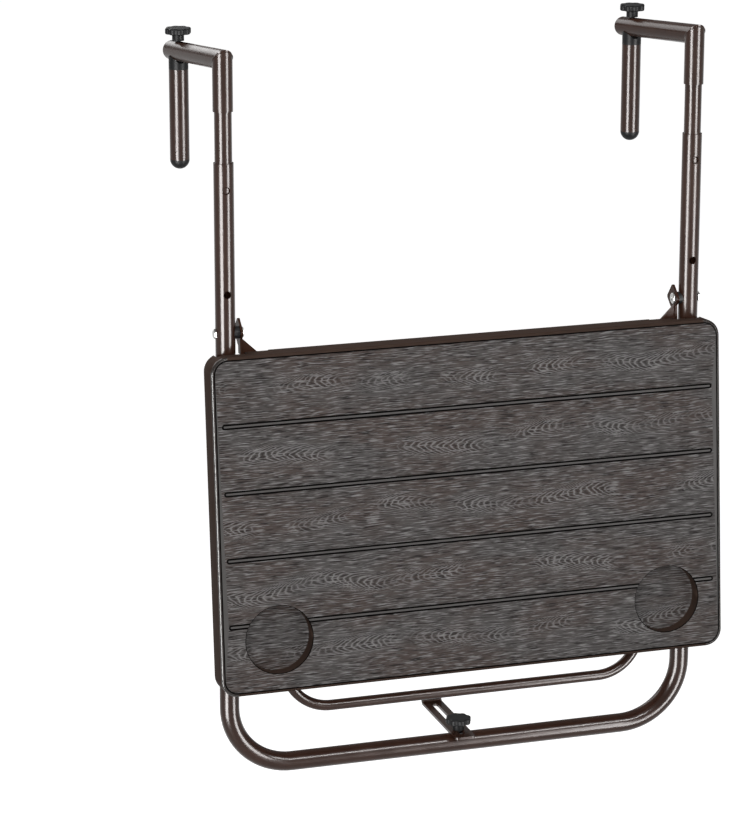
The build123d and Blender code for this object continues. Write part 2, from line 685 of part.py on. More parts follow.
def make_hook_arm(x):
    """Sloping hook tube from the mitred elbow, slotted for the peg's stud."""
    elbow = Vector(x, POST_Y, ELBOW_Z)
    with BuildPart() as arm:
        with BuildSketch(Plane(origin=elbow - ARM_RUN * TUBE_D, x_dir=(1, 0, 0), z_dir=ARM_RUN)):
            Circle(TUBE_R)
            Circle(SLIDE_D / 2, mode=Mode.SUBTRACT)
        extrude(amount=TUBE_D + ARM_LENGTH)
        split(bisect_by=Plane(origin=elbow, z_dir=MITRE_NORMAL), keep=Keep.TOP)
        with BuildSketch(Plane(origin=(x, PEG_Y - ARM_SLOT_TRAVEL / 2, PEG_ARM_Z))):
            SlotOverall(ARM_SLOT_TRAVEL + SLOT_W, SLOT_W, rotation=90)
        extrude(amount=2 * TUBE_D, both=True, mode=Mode.SUBTRACT)
    return arm.part


def make_arm_plug(x):
    """Plastic plug in the far end of a hook arm."""
    end = Vector(x, POST_Y, ELBOW_Z) + ARM_RUN * ARM_LENGTH
    end_plane = Plane(origin=end, x_dir=(1, 0, 0), z_dir=ARM_RUN)
    with BuildPart() as plug:
        with BuildSketch(end_plane):
            Circle(TUBE_R)
        extrude(amount=PLUG_RIM)
        fillet(plug.faces().sort_by(Axis(end, ARM_RUN))[-1].edges(), PLUG_ROUND)
        with BuildSketch(end_plane):
            Circle(SLIDE_D / 2)
        extrude(amount=-PLUG_INSERT)
    return plug.part


def make_slide_tube(x):
    """Telescoping tube fixed in the hook leg and sliding in the post."""
    bottom = BUTTON_Z - SLIDE_BELOW_BUTTON
    with BuildPart() as tube:
        with BuildSketch(Plane(origin=(x, POST_Y, bottom))):
            Circle(SLIDE_D / 2)
            Circle(SLIDE_BORE / 2, mode=Mode.SUBTRACT)
        extrude(amount=SHOULDER_Z + SLIDE_IN_LEG - bottom)
        with BuildSketch(Plane(origin=(x, POST_Y, BUTTON_Z), z_dir=(0, -1, 0))):
            Circle(BUTTON_D / 2 + BUTTON_CLEAR)
        extrude(amount=TUBE_D, mode=Mode.SUBTRACT)
    return tube.part


# Snap button and its leaf spring inside the telescoping tube
FLANGE_FACE = sqrt((SLIDE_BORE / 2) ** 2 - (BUTTON_FLANGE_D / 2) ** 2) - BUTTON_CLEAR
FLANGE_REAR = FLANGE_FACE - BUTTON_FLANGE_T
SPRING_BACK = sqrt((SLIDE_BORE / 2) ** 2 - (SPRING_W / 2) ** 2) - BUTTON_CLEAR


def make_button(x):
    """Round button with a retaining flange behind the tube wall."""
    tip = SLIDE_D / 2 - BUTTON_SINK
    with BuildPart() as button:
        with BuildSketch(Plane(origin=(x, POST_Y - FLANGE_REAR, BUTTON_Z), z_dir=(0, -1, 0))):
            Circle(BUTTON_D / 2)
        extrude(amount=tip - FLANGE_REAR)
        with Locations((x, POST_Y, BUTTON_Z)):
            Cylinder(tip, 2 * TUBE_D, mode=Mode.INTERSECT)
        fillet(button.edges().filter_by(GeomType.BSPLINE), BUTTON_ROUND)
        with BuildSketch(Plane(origin=(x, POST_Y - FLANGE_REAR, BUTTON_Z), z_dir=(0, -1, 0))):
            Circle(BUTTON_FLANGE_D / 2)
        extrude(amount=BUTTON_FLANGE_T)
    return button.part


def make_button_spring(x):
    """Hairpin leaf spring from the button's flange to the back of the tube."""
    front = POST_Y - FLANGE_REAR + SPRING_T / 2
    rear = POST_Y + SPRING_BACK - SPRING_T / 2
    top = BUTTON_Z + SPRING_ABOVE
    bottom = BUTTON_Z - SPRING_LEG
    radius = (rear - front) / 2
    with BuildPart() as spring:
        with BuildLine():
            Line((x, front, top), (x, front, bottom))
            ThreePointArc((x, front, bottom), (x, front + radius, bottom - radius), (x, rear, bottom))
            Line((x, rear, bottom), (x, rear, top))
        with BuildSketch(Plane(origin=(x, front, top), x_dir=(1, 0, 0), z_dir=(0, 0, -1))):
            Rectangle(SPRING_W, SPRING_T)
        sweep()
    return spring.part


# Pegs that hang from the hook arms behind the railing
CRADLE_TOP = PEG_ARM_Z - CRADLE_EAR
CRADLE_BOTTOM = CRADLE_TOP - CRADLE_HEIGHT
PEG_END_Z = PEG_ARM_Z - PEG_DROP
PEG_PLUG_Z = PEG_END_Z + TUBE_R
NUT_Z = CRADLE_BOTTOM - CRADLE_SPIGOT
STUD_LENGTH = KNOB_FOOT_Z - NUT_Z + STUD_TAIL


def make_peg_tube(x):
    """Plain tube of a peg, between its cradle and its end plug."""
    with BuildPart() as tube:
        with BuildSketch(Plane(origin=(x, PEG_Y, PEG_PLUG_Z))):
            Circle(TUBE_R)
            Circle(SLIDE_D / 2, mode=Mode.SUBTRACT)
        extrude(amount=CRADLE_BOTTOM - PEG_PLUG_Z)
    return tube.part


def make_peg_cradle(x):
    """Plastic top of a peg with a sloping vee that the hook arm lies in."""
    axis_point = (x, PEG_Y, PEG_ARM_Z)
    vee_line = (TUBE_R + CRADLE_CLEAR) * sqrt(2)
    vee_floor = TUBE_R + CRADLE_FLAT_GAP
    with BuildPart() as cradle:
        with BuildSketch(Plane(origin=(x, PEG_Y, CRADLE_BOTTOM))):
            Circle(TUBE_R)
        extrude(amount=CRADLE_HEIGHT + TUBE_R)
        with BuildSketch(Plane(origin=(x, PEG_Y, CRADLE_BOTTOM))):
            Circle(SLIDE_D / 2)
        extrude(amount=-CRADLE_SPIGOT)
        with BuildSketch(Plane(origin=axis_point, x_dir=(1, 0, 0), z_dir=-ARM_RUN)):
            with BuildLine():
                Polyline(
                    (vee_floor - vee_line, -vee_floor),
                    (vee_line - vee_floor, -vee_floor),
                    (vee_line + TUBE_D, TUBE_D),
                    (-vee_line - TUBE_D, TUBE_D),
                    close=True,
                )
            make_face()
        extrude(amount=TUBE_D, both=True, mode=Mode.SUBTRACT)
        with BuildSketch(Plane(origin=(x, PEG_Y, NUT_Z))):
            Circle(STUD_D / 2 + STUD_CLEAR)
        extrude(amount=CRADLE_SPIGOT + CRADLE_HEIGHT, mode=Mode.SUBTRACT)
        with BuildSketch(Plane(origin=(x, PEG_Y, NUT_Z))):
            RegularPolygon(PEG_NUT_FLATS / 2, HEX_SIDES, major_radius=False)
        extrude(amount=PEG_NUT_H, mode=Mode.SUBTRACT)
    return cradle.part


def make_peg_nut(x):
    """Captive nut in the foot of a cradle."""
    with BuildPart() as nut:
        with BuildSketch(Plane(origin=(x, PEG_Y, NUT_Z))):
            RegularPolygon(PEG_NUT_FLATS / 2, HEX_SIDES, major_radius=False)
            Circle(STUD_D / 2 + STUD_CLEAR, mode=Mode.SUBTRACT)
        extrude(amount=PEG_NUT_H)
    return nut.part


def make_peg_plug(x):
    """Domed plastic plug in the lower end of a peg."""
    with BuildPart() as plug:
        with Locations((x, PEG_Y, PEG_PLUG_Z)):
            Sphere(TUBE_R, arc_size1=-90, arc_size2=0, align=(Align.CENTER, Align.CENTER, Align.MAX))
        with BuildSketch(Plane(origin=(x, PEG_Y, PEG_PLUG_Z))):
            Circle(SLIDE_D / 2)
        extrude(amount=PLUG_INSERT)
    return plug.part


for side_name, side in SIDES.items():
    x = side * POST_X
    save(make_hook_leg(x), f"{side_name}_hook_leg")
    save(make_hook_arm(x), f"{side_name}_hook_arm")
    save(make_arm_plug(x), f"{side_name}_arm_plug")
    save(make_slide_tube(x), f"{side_name}_slide_tube")
    save(make_button(x), f"{side_name}_button")
    save(make_button_spring(x), f"{side_name}_button_spring")
    save(make_peg_tube(x), f"{side_name}_peg_tube")
    save(make_peg_cradle(x), f"{side_name}_peg_cradle")
    save(make_peg_nut(x), f"{side_name}_peg_nut")
    save(make_peg_plug(x), f"{side_name}_peg_plug")
    save(make_knob(x, PEG_Y, KNOB_FOOT_Z), f"{side_name}_knob")
    save(make_stud(x, PEG_Y, KNOB_FOOT_Z, STUD_LENGTH), f"{side_name}_knob_stud")

print(f"strut ratio {STRUT_RATIO:.4f}, strut travel {STRUT_TRAVEL:.2f} deg, top travel {TOP_TRAVEL:.1f} deg")
print(f"hinge z {HINGE_Z:.3f}, pivot z {PIVOT_Z:.3f}, bar z {BAR_Z:.3f}, catch reach {CATCH_REACH:.2f}")
print(f"peg y {PEG_Y:.3f}, peg arm z {PEG_ARM_Z:.3f}, plate z {PLATE_Z:.3f}, knob foot {KNOB_FOOT_Z:.3f}")
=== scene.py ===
"""Looks of a folding balcony table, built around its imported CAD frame."""
import json
from math import cos, hypot, pi, radians, sin, tan

import bpy
from mathutils import Matrix, Vector


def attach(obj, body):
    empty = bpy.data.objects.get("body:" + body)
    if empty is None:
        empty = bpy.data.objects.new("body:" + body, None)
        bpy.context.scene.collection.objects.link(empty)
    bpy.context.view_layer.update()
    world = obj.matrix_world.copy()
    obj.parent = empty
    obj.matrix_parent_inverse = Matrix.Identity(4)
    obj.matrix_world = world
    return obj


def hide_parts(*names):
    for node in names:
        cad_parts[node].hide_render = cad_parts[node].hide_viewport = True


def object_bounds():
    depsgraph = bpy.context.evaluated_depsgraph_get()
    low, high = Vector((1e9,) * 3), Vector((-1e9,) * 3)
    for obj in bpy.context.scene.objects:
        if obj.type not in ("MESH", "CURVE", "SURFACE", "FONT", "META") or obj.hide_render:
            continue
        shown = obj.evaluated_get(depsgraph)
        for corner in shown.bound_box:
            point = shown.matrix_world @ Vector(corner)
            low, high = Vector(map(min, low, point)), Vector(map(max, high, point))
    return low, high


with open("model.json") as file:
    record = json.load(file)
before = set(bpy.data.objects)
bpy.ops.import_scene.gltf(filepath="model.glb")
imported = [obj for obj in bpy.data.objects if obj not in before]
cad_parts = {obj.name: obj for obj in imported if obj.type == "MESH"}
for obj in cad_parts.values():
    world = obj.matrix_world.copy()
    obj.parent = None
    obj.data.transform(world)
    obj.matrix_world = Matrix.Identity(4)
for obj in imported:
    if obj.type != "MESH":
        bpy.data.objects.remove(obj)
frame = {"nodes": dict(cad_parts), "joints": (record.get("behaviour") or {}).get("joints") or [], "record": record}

bl_info = {
    "name": "Folding Balcony Table",
    "version": (1, 0, 0),
    "blender": (4, 5, 0),
    "location": "View3D > Sidebar > Balcony Table",
    "description": "Dresses the frame, top and fittings of a folding balcony table and sets its stage",
    "category": "Object",
}

CAD_BOX = [list(corner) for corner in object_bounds()]
NODES = frame["nodes"]
JOINTS = {joint["name"]: joint for joint in frame["joints"]}
BODY_OF = {
    node: body
    for body, members in frame["record"]["behaviour"]["bodies"].items()
    for node in members
}
MM = 0.001
SIDES = {"left": -1, "right": 1}

# The table top's own directions: X across, UP along the panel to its hinge, OUT of its upper face
TILT = radians(5)
HINGE = Vector(JOINTS["top_fold"]["pos_m"])
PANEL_UP = Vector((0, sin(TILT), cos(TILT)))
PANEL_OUT = Vector((0, -cos(TILT), sin(TILT)))
FACE_HEIGHT = 29.6 * MM
PANEL_TOP_EDGE = -22 * MM
PANEL_HALF_WIDTH = 297.5 * MM
PANEL_LENGTH = 380 * MM
CORNER_RADIUS = 19 * MM
RIM_WIDTH = 3 * MM
RIM_LINE = 1.5 * MM
LINE_DEPTH = 1.6 * MM
PLANK_PITCH = 74.8 * MM
FIRST_BEAD = -98.4 * MM
BEAD_HALF_WIDTH = 1.1 * MM
BEAD_COUNT = 4
CUP_X = 230 * MM
CUP_Y = -341.6 * MM
CUP_RADIUS = 38.5 * MM
CUP_DEPTH = 18 * MM
LIP_DEPTH = 0.8 * MM
# How far a face may lie from one of these lines, how nearly level it is, and how steep a cup wall is
SLACK = 0.3 * MM
HAIR = 0.1 * MM
LEVEL_FACING = 0.9999
LIP_FACING = 0.99
WALL_FACING = 0.3
BACK_FACING = -0.05
SMOOTH_ANGLE = radians(25)
MERGE_DISTANCE = 0.002 * MM

# The grain: rates are per metre, and a seed only tells one noise from another
GRAIN_SHIFT = 3.0
HEART_RATE, HEART_SEED, HEART_SWING = 6.0, 5.0, 60 * MM
HEART_CORE, HEART_EDGE = 6 * MM, 20 * MM
RIPPLE_RUN, RIPPLE_RISE, RIPPLE_SHARE = 40.0, 200.0, 1.6
ARCH_CURVE, ARCH_RATE = 30000.0, -130.0
SPOT_RATE, SPOT_SEED, SPOT_WINDOW = 11.0, 8.0, (0.42, 0.56)
SWAY_RUN, SWAY_RISE, SWAY_SHARE = 14.0, 30.0, 5.0
FLECK_WINDOW = (0.5, 0.68)
PORE_STRETCH, PORE_SEED, PORE_WINDOW = 0.8, 40.0, (0.48, 0.64)
CHEVRON_WINDOW, CHEVRON_SHARE = (0.3, 1.0), 0.8
HOLLOW_WINDOW, HOLLOW_SHARE = (-1.0, -0.2), 0.7
PATCH_RUN, PATCH_RISE, PATCH_SEED, PATCH_WINDOW = 9.0, 22.0, 4.0, (0.4, 0.6)
# How far the flecks go towards the light colour, which is painted sheen
GLINT_SHARE = 0.92
PORE_HEIGHT = 0.6

# Specular level of each finish, and the two ends of its roughness
SHINE = {
    "plank_grain": (0.04, 0.65, 0.55),
    "bead": (0.04, 0.45, 0.55),
    "shaded_crease": (0.0, 0.55, 0.65),
    "side": (0.002, 0.35, 0.45),
    "gloss_coat": (0.2, 0.19, 0.25),
    "satin_coat": (0.03, 0.19, 0.25),
    "weld_coat": (0.2, 0.19, 0.25),
    "black_moulding": (0.06, 0.34, 0.46),
    "black_oxide": (0.06, 0.34, 0.46),
}
CLOUD_WINDOW = (0.3, 0.7)
RIM_ROUGHNESS = 0.22
LEFT_RIM_GLOSS = 0.25
RIGHT_RIM_GLOSS = 0.03
ZINC_ROUGHNESS = (0.3, 0.42)

# The hooks: an upright leg, a mitred elbow and an arm that slopes down behind the rail
POST_X = 272 * MM
POST_Y = -11 * MM
TUBE_RADIUS = 11 * MM
ARM_SLOPE = radians(6.5)
ELBOW_Z = TUBE_RADIUS * tan(ARM_SLOPE) + TUBE_RADIUS / cos(ARM_SLOPE)
WELD_SEGMENTS = 96
WELD_SIDES = 10

# Lamps, by name, place, size and, for a strip, its share of the glare
STRIPS = (
    ("left_strip", (-1.84, -1.41, -0.95), (1.0, 1.7), 1.0),
    ("right_strip", (1.30, -1.91, -0.95), (0.9, 1.7), 0.8),
    ("front_strip", (0.70, -1.78, 0.67), (1.6, 0.18), 1.7),
)
FRONT_LAMP = ("front_soft", (-1.0, -2.6, 0.5), (2.0, 2.0))
TOP_LAMP = ("overhead", (-0.3, -1.0, 2.4), (2.4, 2.4))
BACK_LAMP = ("back_soft", (-0.9, 2.8, 0.9), (2.4, 1.2))
LAMP_AIM = Vector((0, 0, -0.4))
FLOOR_SIZE = 200
SENSOR_HEIGHT = 36

# The CAD nodes, by finish
PAINTED = (
    "left_post", "right_post", "bottom_bar", "cross_tube",
    "left_strut_leg", "right_strut_leg", "strut_bar", "strut_sleeves", "spacer_plate",
    "left_hook_leg", "right_hook_leg",
    "left_slide_tube", "right_slide_tube", "left_peg_tube", "right_peg_tube", "left_button", "right_button",
)
SATIN = ("left_hook_arm", "right_hook_arm", "left_hinge_bracket", "right_hinge_bracket")
MOULDED = (
    "left_strut_spacer", "right_strut_spacer", "hinge_bushes", "strut_catches", "spacer_knob",
    "left_arm_plug", "right_arm_plug", "left_peg_cradle", "right_peg_cradle",
    "left_peg_plug", "right_peg_plug", "left_knob", "right_knob",
)
PLATED = (
    "hinge_bolts", "hinge_nuts", "bracket_screws",
    "left_button_spring", "right_button_spring", "left_peg_nut", "right_peg_nut",
)
BLACKENED = ("threaded_insert", "spacer_stud", "left_knob_stud", "right_knob_stud")


def colour_property(name, description, default):
    """A linear colour that a user would change."""
    return bpy.props.FloatVectorProperty(
        name=name, description=description, default=default, subtype="COLOR", size=3, min=0.0, max=1.0
    )


class TopSettings(bpy.types.PropertyGroup):
    """Finish of the table top."""

    plank_dark: colour_property("Plank Dark", "Colour in the pores of the grain", (0.012, 0.009, 0.008))
    plank_mid: colour_property("Plank", "Main colour of the planks", (0.080, 0.073, 0.071))
    plank_warm: colour_property("Plank Warm", "Warmer patches of the planks", (0.074, 0.055, 0.049))
    # Painted sheen: the light colour on the grain's ridges stands in for their glints, over the grain's own
    # pattern
    plank_glint: colour_property("Plank Light", "Colour on the ridges of the grain", (0.270, 0.260, 0.258))
    bead: colour_property("Bead", "Colour of the smooth beads between the planks", (0.110, 0.103, 0.100))
    # Painted shade: this near-black colour stands in for the shade in the grooves, in the line inside the edge and
    # on the cup lips
    shaded_crease: colour_property("Crease", "Colour in the grooves and on the cup lips", (0.005, 0.0045, 0.004))
    rim: colour_property("Rim", "Colour of the beaded edges at the left and right", (0.036, 0.029, 0.025))
    # Painted fill light: lighter than the rim, to make up for the shade on the sides and in the cups
    side: colour_property("Side", "Colour of the smooth sides and of the cup walls", (0.066, 0.043, 0.034))
    underside: colour_property("Underside", "Colour of the ribbed underside", (0.040, 0.036, 0.034))
    fleck_length: bpy.props.FloatProperty(
        name="Fleck Length", description="Length of the light flecks along the grain",
        default=19 * MM, unit="LENGTH",
    )
    fleck_height: bpy.props.FloatProperty(
        name="Fleck Height", description="Height of the light flecks across the grain",
        default=1.25 * MM, unit="LENGTH",
    )
    grain_depth: bpy.props.FloatProperty(
        name="Grain Depth", description="Depth of the embossed grain", default=0.25 * MM, unit="LENGTH"
    )
    bead_size: bpy.props.FloatProperty(
        name="Bead Size", description="Size of the fine beads on the rim", default=2.0 * MM, unit="LENGTH"
    )


class FittingSettings(bpy.types.PropertyGroup):
    """Finishes of the tubes, plastics and fasteners."""

    paint: colour_property("Paint", "Main colour of the powder coat", (0.050, 0.022, 0.0140))
    paint_deep: colour_property("Paint Deep", "Colour where the coat is thicker", (0.042, 0.0185, 0.0118))
    plastic: colour_property("Plastic", "Colour of the black plastics and studs", (0.026, 0.026, 0.027))
    zinc: colour_property("Zinc", "Colour of the plated fasteners", (0.46, 0.46, 0.45))
    peel_size: bpy.props.FloatProperty(
        name="Peel Size", description="Size of the orange peel in the powder coat",
        default=6 * MM, unit="LENGTH",
    )
    weld_radius: bpy.props.FloatProperty(
        name="Weld Radius", description="Radius of the weld bead round each hook elbow",
        default=0.7 * MM, unit="LENGTH",
    )


class StageSettings(bpy.types.PropertyGroup):
    """Floor, lights and camera."""

    floor_colour: colour_property("Floor", "Colour of the pale floor", (0.55, 0.55, 0.55))
    floor_drop: bpy.props.FloatProperty(
        name="Floor Drop", description="Distance from the bottom bar down to the floor",
        default=1.0, unit="LENGTH",
    )
    floor_glow: bpy.props.FloatProperty(
        name="Floor Glow", description="Brightness added to the floor where it is seen directly", default=0.86
    )
    world_level: bpy.props.FloatProperty(
        name="World Level", description="Brightness of the even room light", default=0.3
    )
    strip_glare: bpy.props.FloatProperty(
        name="Strip Glare", description="Brightness of the strips that show as highlights", default=48.0
    )
    front_level: bpy.props.FloatProperty(
        name="Front Level", description="Power of the soft light in front", default=45.0, unit="POWER"
    )
    back_level: bpy.props.FloatProperty(
        name="Back Level", description="Power of the soft light behind", default=40.0, unit="POWER"
    )
    top_level: bpy.props.FloatProperty(
        name="Top Level", description="Power of the soft light overhead", default=24.0, unit="POWER"
    )
    camera_place: bpy.props.FloatVectorProperty(
        name="Camera Place", description="Where the camera stands", default=(-1.2337, -3.5422, 0.6513),
        size=3, subtype="XYZ_LENGTH", unit="LENGTH",
    )
    camera_yaw: bpy.props.FloatProperty(
        name="Camera Yaw", description="How far the camera turns to the right",
        default=radians(17.65), unit="ROTATION",
    )
    camera_pitch: bpy.props.FloatProperty(
        name="Camera Pitch", description="How far the camera looks down",
        default=radians(15.747), unit="ROTATION",
    )
    lens: bpy.props.FloatProperty(
        name="Lens", description="Focal length on a sensor 36 mm high", default=150.73, unit="CAMERA"
    )


class Finish:
    """A procedural material and short ways to add and join its nodes."""

    def __init__(self, name):
        self.name = name
        self.material = bpy.data.materials.new(name)
        self.material.use_nodes = True
        self.tree = self.material.node_tree
        self.shader = self.tree.nodes["Principled BSDF"]

    def add(self, kind, **settings):
        """Add a node and set its own values."""
        node = self.tree.nodes.new(kind)
        for key, value in settings.items():
            setattr(node, key, value)
        return node

    def put(self, socket, value):
        """Join a socket to another, or give it a value."""
        if isinstance(value, bpy.types.NodeSocket):
            self.tree.links.new(value, socket)
        else:
            socket.default_value = value

    def math(self, operation, first, second=0.0, third=0.0):
        """One sum of numbers."""
        node = self.add("ShaderNodeMath", operation=operation)
        for socket, value in zip(node.inputs, (first, second, third)):
            self.put(socket, value)
        return node.outputs[0]

    def vector(self, x, y, z):
        """A vector from three numbers."""
        node = self.add("ShaderNodeCombineXYZ")
        for socket, value in zip(node.inputs, (x, y, z)):
            self.put(socket, value)
        return node.outputs[0]

    def grid(self, first, first_rate, second, second_rate, third):
        """A vector from two numbers at their rates and a third number."""
        scaled = [
            self.math("MULTIPLY", value, rate) if rate != 1.0 else value
            for value, rate in ((first, first_rate), (second, second_rate))
        ]
        return self.vector(*scaled, third)

    def split(self, vector):
        """The three numbers of a vector."""
        node = self.add("ShaderNodeSeparateXYZ")
        self.put(node.inputs[0], vector)
        return node.outputs

    def place(self, location=(0, 0, 0), rotation=(0, 0, 0)):
        """Object coordinates, turned and moved."""
        node = self.add("ShaderNodeMapping")
        self.put(node.inputs["Vector"], self.add("ShaderNodeTexCoord").outputs["Object"])
        node.inputs["Location"].default_value = location
        node.inputs["Rotation"].default_value = rotation
        return node.outputs[0]

    def noise(self, vector, scale=1.0, detail=2.0, roughness=0.5):
        """Soft noise round a half."""
        node = self.add("ShaderNodeTexNoise")
        self.put(node.inputs["Vector"], vector)
        node.inputs["Scale"].default_value = scale
        node.inputs["Detail"].default_value = detail
        node.inputs["Roughness"].default_value = roughness
        return node.outputs["Fac"]

    def spread(self, value, low, high, out_low=0.0, out_high=1.0, smooth=False):
        """Stretch a range of numbers to another range."""
        node = self.add("ShaderNodeMapRange")
        if smooth:
            node.interpolation_type = "SMOOTHSTEP"
        for socket, number in zip(node.inputs, (value, low, high, out_low, out_high)):
            self.put(socket, number)
        return node.outputs[0]

    def mix(self, share, first, second):
        """Blend two colours."""
        node = self.add("ShaderNodeMix", data_type="RGBA")
        self.put(node.inputs["Factor"], share)
        for socket, value in ((node.inputs["A"], first), (node.inputs["B"], second)):
            self.put(socket, value if isinstance(value, bpy.types.NodeSocket) else (*value, 1))
        return node.outputs["Result"]

    def bump(self, height, distance, strength=1.0):
        """Raise the surface by a height."""
        node = self.add("ShaderNodeBump")
        self.put(node.inputs["Height"], height)
        node.inputs["Distance"].default_value = distance
        node.inputs["Strength"].default_value = strength
        self.put(self.shader.inputs["Normal"], node.outputs[0])

    def set(self, **values):
        """Set or join the shader's sockets, written with underscores."""
        for key, value in values.items():
            socket = self.shader.inputs[key.replace("_", " ")]
            if not isinstance(value, bpy.types.NodeSocket) and socket.type == "RGBA":
                value = (*value, 1)
            self.put(socket, value)

    def shine(self, share, window):
        """Set the specular level, and let the roughness follow a share through a window."""
        level, first, last = SHINE[self.name]
        self.set(Specular_IOR_Level=level, Roughness=self.spread(share, *window, first, last))


def darker(colour, share):
    """A share of a colour."""
    return tuple(channel * share for channel in colour)


def panel_coordinates(finish):
    """Object coordinates in the table top's own directions, measured from its hinge."""
    turn = TILT - pi / 2
    origin = Matrix.Rotation(turn, 4, "X") @ HINGE
    return finish.place(location=-origin, rotation=(turn, 0, 0))


def plank_finish(top):
    """Moulded planks with embossed wood grain along the table top, and painted sheen on the grain's ridges."""
    finish = Finish("plank_grain")
    across, along, _ = finish.split(panel_coordinates(finish))
    count = finish.math("DIVIDE", finish.math("SUBTRACT", FIRST_BEAD + PLANK_PITCH, along), PLANK_PITCH)
    plank = finish.math("FLOOR", count)
    rise = finish.math("MULTIPLY", finish.math("SUBTRACT", finish.math("FRACT", count), 0.5), PLANK_PITCH)
    chance = finish.add("ShaderNodeTexWhiteNoise", noise_dimensions="1D")
    finish.put(chance.inputs["W"], plank)
    run = finish.math("ADD", across, finish.math("MULTIPLY", chance.outputs["Value"], GRAIN_SHIFT))
    # Chevrons in patches along the heart of each plank
    wander = finish.noise(finish.grid(run, HEART_RATE, plank, 1.0, HEART_SEED), detail=1.0)
    heart = finish.math("MULTIPLY_ADD", finish.math("SUBTRACT", wander, 0.5), HEART_SWING, rise)
    ripple = finish.noise(finish.grid(run, RIPPLE_RUN, rise, RIPPLE_RISE, plank))
    slope = finish.math("MULTIPLY", run, ARCH_RATE)
    arch = finish.math("MULTIPLY_ADD", finish.math("MULTIPLY", heart, heart), ARCH_CURVE, slope)
    phase = finish.math("MULTIPLY_ADD", ripple, RIPPLE_SHARE, arch)
    wave = finish.math("SINE", finish.math("MULTIPLY", phase, 2 * pi))
    near = finish.spread(finish.math("ABSOLUTE", heart), HEART_CORE, HEART_EDGE, 1.0, 0.0, smooth=True)
    spot = finish.noise(finish.grid(run, SPOT_RATE, plank, 1.0, SPOT_SEED), detail=1.0)
    share = finish.math("MULTIPLY", near, finish.spread(spot, *SPOT_WINDOW, smooth=True))
    # Short flecks and pores that lie along the plank, in lines that sway a little; the light flecks are painted
    # sheen on the grain's ridges
    sway = finish.noise(finish.grid(run, SWAY_RUN, rise, SWAY_RISE, plank))
    fleck_run = finish.math("DIVIDE", run, top.fleck_length)
    fleck_rise = finish.math("MULTIPLY_ADD", sway, SWAY_SHARE, finish.math("DIVIDE", rise, top.fleck_height))
    fleck = finish.noise(finish.vector(fleck_run, fleck_rise, plank), roughness=0.6)
    straight = finish.spread(fleck, *FLECK_WINDOW, smooth=True)
    chevron = finish.spread(wave, *CHEVRON_WINDOW, smooth=True)
    arched = finish.math("MULTIPLY", finish.math("MULTIPLY", share, CHEVRON_SHARE), chevron)
    light = finish.math("MAXIMUM", straight, arched)
    pore = finish.noise(finish.grid(fleck_run, PORE_STRETCH, fleck_rise, 1.0, PORE_SEED))
    hollow = finish.math("MULTIPLY", share, finish.spread(wave, *HOLLOW_WINDOW, HOLLOW_SHARE, 0.0))
    dark = finish.math("MAXIMUM", finish.spread(pore, *PORE_WINDOW, smooth=True), hollow)
    patch = finish.noise(finish.grid(across, PATCH_RUN, along, PATCH_RISE, PATCH_SEED))
    ground = finish.mix(finish.spread(patch, *PATCH_WINDOW), tuple(top.plank_mid), tuple(top.plank_warm))
    pored = finish.mix(dark, ground, tuple(top.plank_dark))
    # Light flecks and arches are mixed towards the light colour: painted sheen on the grain's ridges
    colour = finish.mix(finish.math("MULTIPLY", light, GLINT_SHARE), pored, tuple(top.plank_glint))
    height = finish.math("SUBTRACT", light, finish.math("MULTIPLY", dark, PORE_HEIGHT))
    finish.set(Base_Color=colour)
    finish.shine(light, (0.0, 1.0))
    finish.bump(height, top.grain_depth, 0.5)
    return finish.material


def smooth_finish(name, colour, scale):
    """Plain smooth plastic of the table top, a little uneven in colour and gloss."""
    finish = Finish(name)
    cloud = finish.noise(panel_coordinates(finish), scale=scale)
    finish.set(Base_Color=finish.mix(cloud, darker(colour, 0.75), tuple(colour)))
    finish.shine(cloud, CLOUD_WINDOW)
    return finish.material


def bead_finish(top):
    """Satin bead between two planks."""
    return smooth_finish("bead", top.bead, 60.0)


def shaded_crease_finish(top):
    """Painted shade in a groove, in the line inside the edge and on a cup lip: near-black plastic."""
    return smooth_finish("shaded_crease", top.shaded_crease, 120.0)


def lifted_side_finish(top):
    """Smooth sides of the table top and walls of the cup recesses, coloured lighter than the rim as painted fill
    light against their shade.
    """
    return smooth_finish("side", top.side, 30.0)


def rim_finish(top, name, gloss):
    """Rounded edge with fine beads."""
    finish = Finish(name)
    place = panel_coordinates(finish)
    bead = finish.add("ShaderNodeTexVoronoi", feature="SMOOTH_F1")
    finish.put(bead.inputs["Vector"], place)
    bead.inputs["Scale"].default_value = 1 / top.bead_size
    cloud = finish.noise(place, scale=35.0)
    finish.set(Base_Color=finish.mix(cloud, darker(top.rim, 0.75), tuple(top.rim)))
    finish.set(Roughness=RIM_ROUGHNESS, Specular_IOR_Level=gloss)
    finish.bump(finish.math("SUBTRACT", 1.0, bead.outputs["Distance"]), 0.25 * MM, 0.6)
    return finish.material


def left_rim_finish(top):
    """Left edge of the top, which is the glossier one."""
    return rim_finish(top, "left_rim", LEFT_RIM_GLOSS)


def right_rim_finish(top):
    """Right edge of the top, which is the duller one."""
    return rim_finish(top, "right_rim", RIGHT_RIM_GLOSS)


def underside_finish(top):
    """Plain satin plastic of the ribbed underside."""
    finish = Finish("underside")
    place = panel_coordinates(finish)
    cloud = finish.noise(place, scale=20.0)
    finish.set(Base_Color=finish.mix(cloud, darker(top.underside, 0.8), tuple(top.underside)), Roughness=0.5)
    finish.bump(finish.noise(place, scale=900.0), 0.05 * MM, 0.4)
    return finish.material


